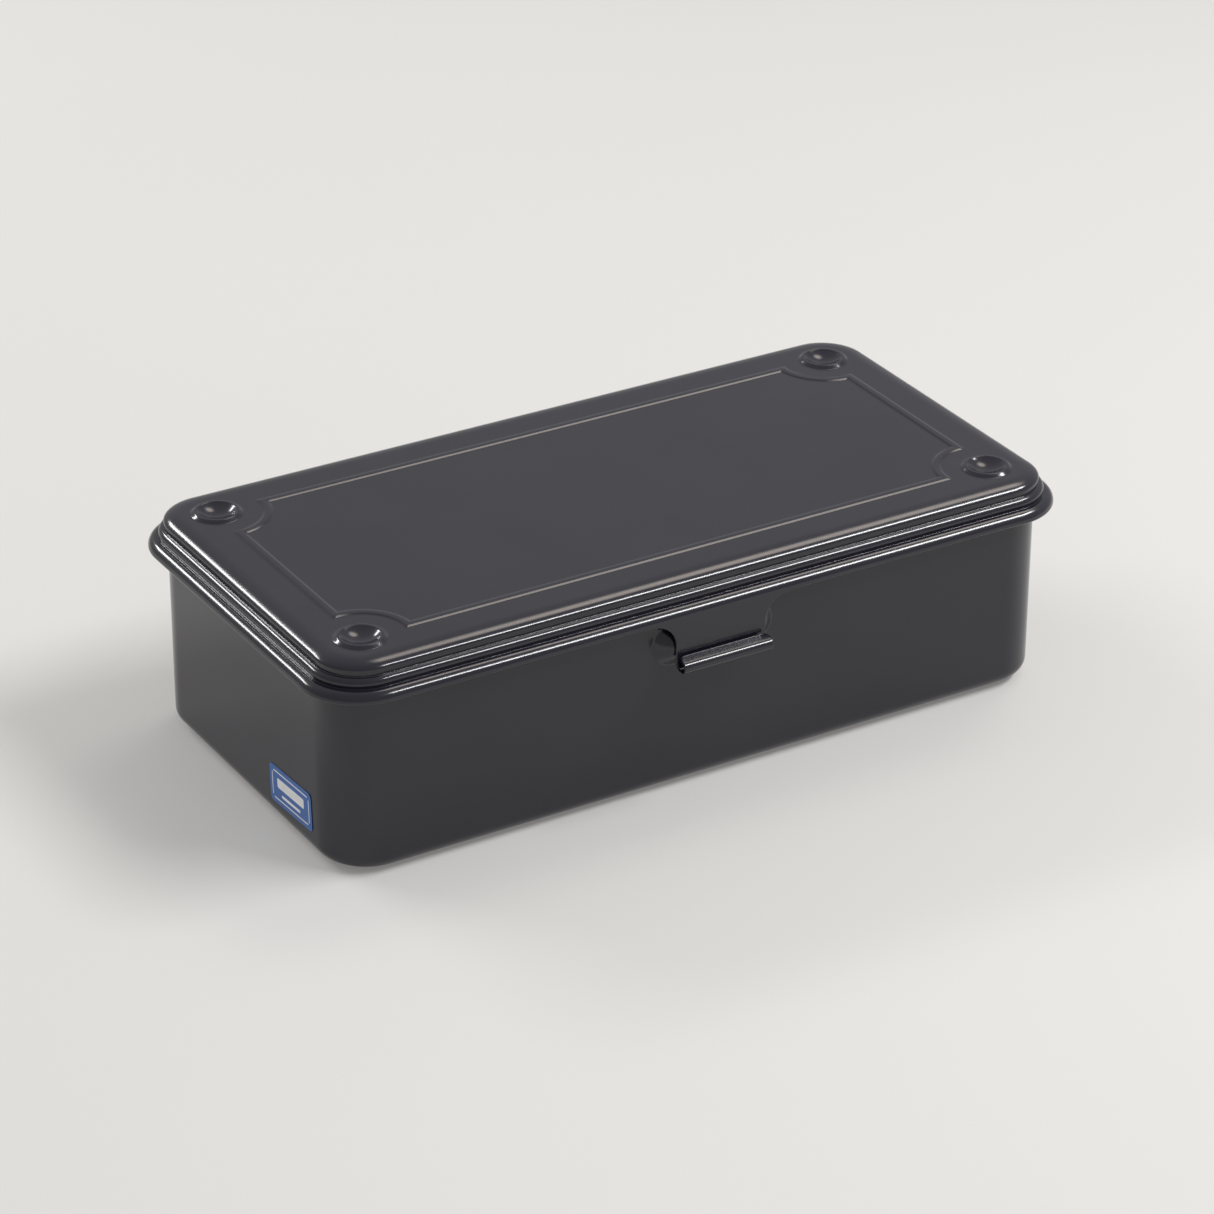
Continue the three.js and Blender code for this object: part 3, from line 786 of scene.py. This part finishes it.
def is_pale(face):
    """Whether a face of the label belongs to the keyline or to one of the bars."""
    t = math.radians(LABEL_TILT)
    place = (face.calc_center_median() - Vector((0, MIDDLE, 0))) / MM
    right, up = LABEL_Y - place.y, place.z - LABEL_Z
    point = (right * math.cos(t) + up * math.sin(t), up * math.cos(t) - right * math.sin(t))
    key_u, key_v = LABEL_HALF_U - LABEL_BORDER, LABEL_HALF_V - LABEL_BORDER
    within = inside(point, key_u - LABEL_KEYLINE, key_v - LABEL_KEYLINE)
    keyline = inside(point, key_u, key_v) and not within
    return keyline or any(inside(point, a, b, middle) for a, b, middle in LABEL_BARS)


def make_label(blue, white):
    """The sticker, with its pale faces in a second material."""
    sheet = label_sheet()
    for face in sheet.bm.faces:
        face.material_index = 1 if is_pale(face) else 0
    piece = sheet.finish("end_sticker", blue)
    piece.data.materials.append(white)
    for polygon in piece.data.polygons:
        polygon.use_smooth = False
    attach(piece, "case")
    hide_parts("side_label")


# ---- materials ----------------------------------------------------------------------------------


class Finish:
    """A material whose colour, roughness and relief come from noises in object space."""

    def __init__(self, name):
        self.material = bpy.data.materials.new(name)
        self.material.use_nodes = True
        self.nodes = self.material.node_tree.nodes
        self.shader = self.nodes["Principled BSDF"]
        self.place = self.nodes.new("ShaderNodeTexCoord").outputs["Object"]

    def link(self, source, target):
        self.material.node_tree.links.new(source, target)

    def noise(self, scale, detail=2, stretch=(1, 1, 1)):
        mapping = self.nodes.new("ShaderNodeMapping")
        mapping.inputs["Scale"].default_value = stretch
        self.link(self.place, mapping.inputs["Vector"])
        texture = self.nodes.new("ShaderNodeTexNoise")
        texture.inputs["Scale"].default_value = scale
        texture.inputs["Detail"].default_value = detail
        self.link(mapping.outputs["Vector"], texture.inputs["Vector"])
        return texture.outputs["Fac"]

    def ramp(self, source, low, high, start=0.3, end=0.7):
        ramp = self.nodes.new("ShaderNodeValToRGB")
        first, last = ramp.color_ramp.elements
        first.color, last.color = (*low, 1), (*high, 1)
        first.position, last.position = start, end
        self.link(source, ramp.inputs["Fac"])
        return ramp.outputs["Color"]

    def colour(self, source, low, high):
        self.link(self.ramp(source, low, high), self.shader.inputs["Base Color"])

    def roughness(self, source, low, high):
        self.link(self.ramp(source, (low,) * 3, (high,) * 3), self.shader.inputs["Roughness"])

    def relief(self, source, strength, depth_mm):
        bump = self.nodes.new("ShaderNodeBump")
        bump.inputs["Strength"].default_value = strength
        bump.inputs["Distance"].default_value = depth_mm * MM
        self.link(source, bump.inputs["Height"])
        self.link(bump.outputs["Normal"], self.shader.inputs["Normal"])

    def worn_edges(self, colour):
        """Sharp convex edges show a slightly paler, rubbed tone over the base colour."""
        geometry = self.nodes.new("ShaderNodeNewGeometry")
        edges = self.ramp(geometry.outputs["Pointiness"], (0, 0, 0), (1, 1, 1), 0.56, 0.70)
        mix = self.nodes.new("ShaderNodeMix")
        mix.data_type = "RGBA"
        mix.inputs["B"].default_value = (*colour, 1)
        base = self.shader.inputs["Base Color"].links[0].from_socket
        self.link(edges, mix.inputs["Factor"])
        self.link(base, mix.inputs["A"])
        self.link(mix.outputs["Result"], self.shader.inputs["Base Color"])


def black_enamel():
    """Semi-gloss baked enamel with a fine orange peel."""
    finish = Finish("black_enamel")
    finish.colour(finish.noise(40, 3), *ENAMEL_TONES)
    finish.worn_edges(ENAMEL_RUBBED)
    finish.roughness(finish.noise(900, 4), 0.14, 0.19)
    finish.relief(finish.noise(5000), 0.012, 0.2)
    finish.shader.inputs["IOR"].default_value = ENAMEL_IOR
    return finish.material


def drawn_wire():
    """Bright wire with fine marks along its length."""
    finish = Finish("drawn_wire")
    marks = finish.noise(60, 2, (1, 70, 70))
    finish.colour(marks, *WIRE_TONES)
    finish.roughness(marks, 0.25, 0.42)
    finish.relief(marks, 0.15, 0.1)
    finish.shader.inputs["Metallic"].default_value = 1.0
    return finish.material


def vinyl(name, low, high):
    """Printed vinyl: slightly mottled ink under a soft gloss."""
    finish = Finish(name)
    mottle = finish.noise(700, 3)
    finish.colour(mottle, low, high)
    finish.roughness(mottle, 0.28, 0.40)
    finish.relief(mottle, 0.04, 0.1)
    return finish.material


def floor_paper():
    """Pale matt paper with a little light coming through it."""
    finish = Finish("floor_paper")
    tone = finish.noise(3, 2)
    finish.colour(tone, *FLOOR_TONES)
    finish.roughness(tone, 0.85, 0.95)
    finish.relief(finish.noise(500), 0.02, 0.1)
    finish.shader.inputs["Specular IOR Level"].default_value = 0.1
    finish.shader.inputs["Emission Color"].default_value = (*FLOOR_GLOW_COLOUR, 1)
    finish.shader.inputs["Emission Strength"].default_value = FLOOR_GLOW
    return finish.material


# ---- stage --------------------------------------------------------------------------------------


def make_floor():
    bpy.ops.mesh.primitive_plane_add(size=FLOOR_SIZE, location=(0, 0, 0))
    floor = bpy.context.object
    floor.name = "floor"
    floor.data.materials.append(floor_paper())


def sky_direction(azimuth, elevation):
    """Unit vector; azimuth 0 is towards -Y, and grows towards +X."""
    a, e = math.radians(azimuth), math.radians(elevation)
    return Vector((math.sin(a) * math.cos(e), -math.cos(a) * math.cos(e), math.sin(e)))


def make_room():
    """Pale walls, brighter behind the object than behind the viewer, and one warm patch of light."""
    world = bpy.data.worlds.new("studio")
    world.use_nodes = True
    nodes, links = world.node_tree.nodes, world.node_tree.links
    direction = nodes.new("ShaderNodeTexCoord")

    def along(axis, low, high, dim, full):
        dot = nodes.new("ShaderNodeVectorMath")
        dot.operation = "DOT_PRODUCT"
        dot.inputs[1].default_value = axis
        links.new(direction.outputs["Generated"], dot.inputs[0])
        span = nodes.new("ShaderNodeMapRange")
        span.interpolation_type = "SMOOTHSTEP"
        span.inputs["From Min"].default_value = low
        span.inputs["From Max"].default_value = high
        span.inputs["To Min"].default_value = dim
        span.inputs["To Max"].default_value = full
        links.new(dot.outputs["Value"], span.inputs["Value"])
        return span.outputs["Result"]

    level = along(sky_direction(CAMERA_AZIMUTH + 180, 0), -0.5, 0.3, ROOM_FRONT, ROOM_BACK)
    background = nodes["Background"]
    background.inputs["Color"].default_value = (*ROOM_COLOUR, 1)
    links.new(level, background.inputs["Strength"])
    glow = nodes.new("ShaderNodeBackground")
    glow.inputs["Color"].default_value = (*GLOW_COLOUR, 1)
    links.new(along(sky_direction(*GLOW_PLACE), *GLOW_SPREAD, 0.0, GLOW_LEVEL), glow.inputs["Strength"])
    both = nodes.new("ShaderNodeAddShader")
    links.new(background.outputs["Background"], both.inputs[0])
    links.new(glow.outputs["Background"], both.inputs[1])
    links.new(both.outputs["Shader"], nodes["World Output"].inputs["Surface"])
    bpy.context.scene.world = world
    bpy.context.scene.view_settings.view_transform = "Standard"


def softbox(name, azimuth, elevation, width, height, radiance):
    """A rectangular lamp facing the object; radiance is the brightness of its face."""
    data = bpy.data.lights.new(name, "AREA")
    data.shape = "RECTANGLE"
    data.size, data.size_y = width, height
    data.energy = radiance * math.pi * width * height
    lamp = bpy.data.objects.new(name, data)
    direction = sky_direction(azimuth, elevation)
    lamp.location = direction * LAMP_DISTANCE
    lamp.rotation_euler = direction.to_track_quat("Z", "Y").to_euler()
    bpy.context.scene.collection.objects.link(lamp)


# ---- camera -------------------------------------------------------------------------------------


def make_camera():
    """A long lens, turned a little about its own axis and shifted sideways."""
    a, roll = math.radians(CAMERA_AZIMUTH), math.radians(CAMERA_ROLL)
    back = sky_direction(CAMERA_AZIMUTH, CAMERA_ELEVATION)
    level = Vector((math.cos(a), math.sin(a), 0))
    upright = back.cross(level)
    right = level * math.cos(roll) + upright * math.sin(roll)
    up = upright * math.cos(roll) - level * math.sin(roll)
    place = back * CAMERA_DISTANCE + right * CAMERA_RIGHT + up * CAMERA_UP
    data = bpy.data.cameras.new("camera")
    data.sensor_width = CAMERA_SENSOR
    data.lens = CAMERA_LENS
    data.shift_x = CAMERA_SHIFT_X
    camera = bpy.data.objects.new("camera", data)
    rotation = Matrix((right, up, back)).transposed()
    where = in_frame(place + Vector((0, 0, CAMERA_LIFT)))
    camera.matrix_world = Matrix.Translation(where) @ rotation.to_4x4()
    bpy.context.scene.collection.objects.link(camera)
    bpy.context.scene.camera = camera


make_camera()
make_floor()
make_room()
softbox("left_softbox", **LEFT_LAMP)
softbox("right_softbox", **RIGHT_LAMP)
paint = black_enamel()
make_lid(paint)
make_body(paint)
steel = drawn_wire()
for side, x in (("left", -HINGE_X), ("right", HINGE_X)):
    make_case_leaf(side, x, paint)
    make_cover_leaf(side, x, paint)
    make_pin(side, x, steel)
make_label(vinyl("label_blue", *LABEL_BLUES), vinyl("label_white", *LABEL_WHITES))
